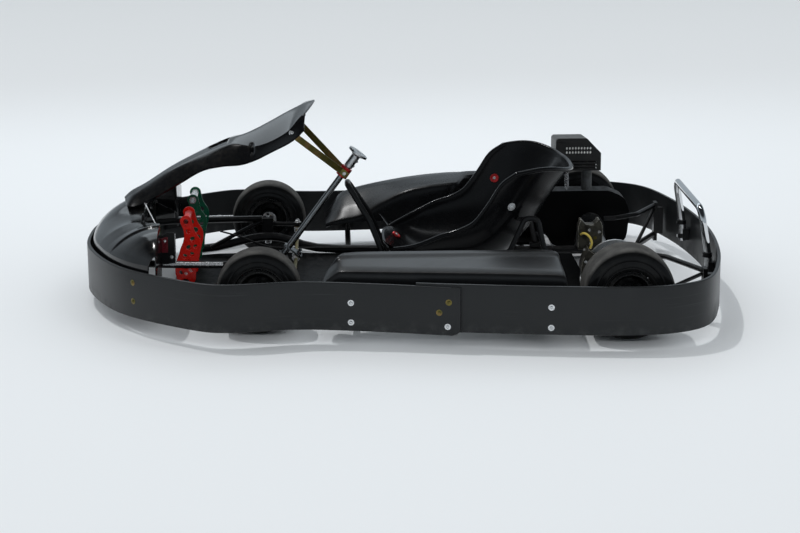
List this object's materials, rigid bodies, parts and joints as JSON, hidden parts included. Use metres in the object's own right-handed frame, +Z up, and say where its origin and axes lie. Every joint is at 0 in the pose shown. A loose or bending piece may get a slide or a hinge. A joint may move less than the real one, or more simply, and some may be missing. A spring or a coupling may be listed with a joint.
{
  "type": "indoor rental go-kart",
  "caption": "Low single-seat go-kart with a full perimeter bumper band, slick tyres, bucket seat, side pods, nose fairing, live rear axle, chain drive and disc brake.",
  "frame": {"origin": "on the floor, under the middle of the kart's bounding box", "axes": "+X forward to the nose, +Y to the driver's left, +Z up; the tyres stand on z = 0"},
  "size_m": [1.976, 1.544, 0.6089],
  "materials": {
    "band_black": "satin black moulded plastic, scuffed",
    "gloss_black": "glossy black moulded plastic",
    "frame_black": "satin black powder coat",
    "tyre": "slick rubber with a dusty grey tread",
    "rim_black": "black painted rim",
    "steel": "bare machined steel",
    "chrome": "bright chrome",
    "aluminium": "machined aluminium",
    "zinc": "yellow zinc plate",
    "brake_red": "red paint",
    "throttle_green": "green paint",
    "red_anodised": "red anodised aluminium",
    "cast": "rough grey casting",
    "engine_black": "heat proof black paint",
    "hose_yellow": "yellow hose"
  },
  "bodies": {
    "chassis": {"air_filter": "engine_black", "brake_caliper": "cast", "brake_hose": "hose_yellow", "chain_guard": "frame_black", "column_bracket": "frame_black", "column_clamp": "red_anodised", "column_support": "frame_black", "drive_chain": "steel", "engine_block": "engine_black", "engine_mount": "aluminium", "floor_tray": "frame_black", "front_band": "band_black", "front_cross_tube": "frame_black", "front_hoop": "frame_black", "front_panel": "gloss_black", "fuel_tank": "engine_black", "left_axle_carrier": "frame_black", "left_panel_strap": "zinc", "left_rail": "frame_black", "left_rear_bracket": "frame_black", "left_seat_stay": "frame_black", "left_sidepod": "gloss_black", "master_cylinder": "cast", "muffler": "cast", "muffler_guard": "engine_black", "nose_fairing": "gloss_black", "push_bar": "chrome", "rear_band": "band_black", "rear_cross_tube": "frame_black", "recoil_cover": "engine_black", "right_axle_carrier": "frame_black", "right_panel_strap": "zinc", "right_rail": "frame_black", "right_rear_bracket": "frame_black", "right_seat_stay": "frame_black", "right_sidepod": "gloss_black", "seat_cross_tube": "frame_black", "seat_shell": "gloss_black", "throttle_cable": "engine_black"},
    "steering": {"steering_column": "frame_black", "steering_hub": "aluminium"},
    "left_stub": {"left_stub_axle": "frame_black"},
    "right_stub": {"right_stub_axle": "frame_black"},
    "left_rod": {"left_track_rod": "zinc"},
    "right_rod": {"right_track_rod": "zinc"},
    "front_left_wheel": {"front_left_rim": "rim_black", "front_left_tyre": "tyre"},
    "front_right_wheel": {"front_right_rim": "rim_black", "front_right_tyre": "tyre"},
    "axle": {"rear_axle": "steel", "brake_disc": "steel", "axle_sprocket": "steel", "rear_left_rim": "rim_black", "rear_left_tyre": "tyre", "rear_right_rim": "rim_black", "rear_right_tyre": "tyre"},
    "crank": {"clutch_sprocket": "steel"},
    "brake_pedal_body": {"brake_pedal": "brake_red"},
    "accelerator_pedal_body": {"accelerator_pedal": "throttle_green"}
  },
  "joints": [
    {"name": "left_stub_turn", "type": "hinge", "parent": "chassis", "child": "left_stub", "pos_m": [0.4345, 0.365, 0.125], "axis": [0, 0, 1], "range_deg": [-21.5, 21.5]},
    {"name": "right_stub_turn", "type": "hinge", "parent": "chassis", "child": "right_stub", "pos_m": [0.4345, -0.365, 0.125], "axis": [0, 0, 1], "range_deg": [-21.5, 21.5]},
    {"name": "steering_turn", "type": "hinge", "parent": "chassis", "child": "steering", "pos_m": [0.386, 0, 0.098], "axis": [-0.5962, 0, 0.8028], "range_deg": [-60, 60]},
    {"name": "left_rod_swing", "type": "hinge", "parent": "left_stub", "child": "left_rod", "pos_m": [0.3345, 0.347, 0.133], "axis": [0, 0, 1], "range_deg": [-22, 22]},
    {"name": "right_rod_swing", "type": "hinge", "parent": "right_stub", "child": "right_rod", "pos_m": [0.3345, -0.347, 0.133], "axis": [0, 0, 1], "range_deg": [-22, 22]},
    {"name": "front_left_wheel_spin", "type": "hinge", "parent": "left_stub", "child": "front_left_wheel", "pos_m": [0.4345, 0.503, 0.125], "axis": [0, 1, 0], "continuous": true},
    {"name": "front_right_wheel_spin", "type": "hinge", "parent": "right_stub", "child": "front_right_wheel", "pos_m": [0.4345, -0.503, 0.125], "axis": [0, 1, 0], "continuous": true},
    {"name": "rear_axle_spin", "type": "hinge", "parent": "chassis", "child": "axle", "pos_m": [-0.6405, 0, 0.1355], "axis": [0, 1, 0], "continuous": true},
    {"name": "crank_spin", "type": "hinge", "parent": "chassis", "child": "crank", "pos_m": [-0.392, -0.375, 0.185], "axis": [0, 1, 0], "continuous": true},
    {"name": "brake_pedal_press", "type": "hinge", "parent": "chassis", "child": "brake_pedal_body", "pos_m": [0.672, 0.155, 0.078], "axis": [0, 1, 0], "range_deg": [0, 14], "stiffness_Nm_per_rad": 4, "springref_deg": -11.46},
    {"name": "accelerator_pedal_press", "type": "hinge", "parent": "chassis", "child": "accelerator_pedal_body", "pos_m": [0.672, -0.16, 0.078], "axis": [0, 1, 0], "range_deg": [0, 16], "stiffness_Nm_per_rad": 4, "springref_deg": -11.46}
  ],
  "couplings": [
    {"joint": "right_stub_turn", "follows": "left_stub_turn", "ratio": 1},
    {"joint": "steering_turn", "follows": "left_stub_turn", "ratio": 2.7778},
    {"joint": "left_rod_swing", "follows": "left_stub_turn", "ratio": -1},
    {"joint": "right_rod_swing", "follows": "left_stub_turn", "ratio": -1},
    {"joint": "crank_spin", "follows": "rear_axle_spin", "ratio": 2.2857}
  ]
}
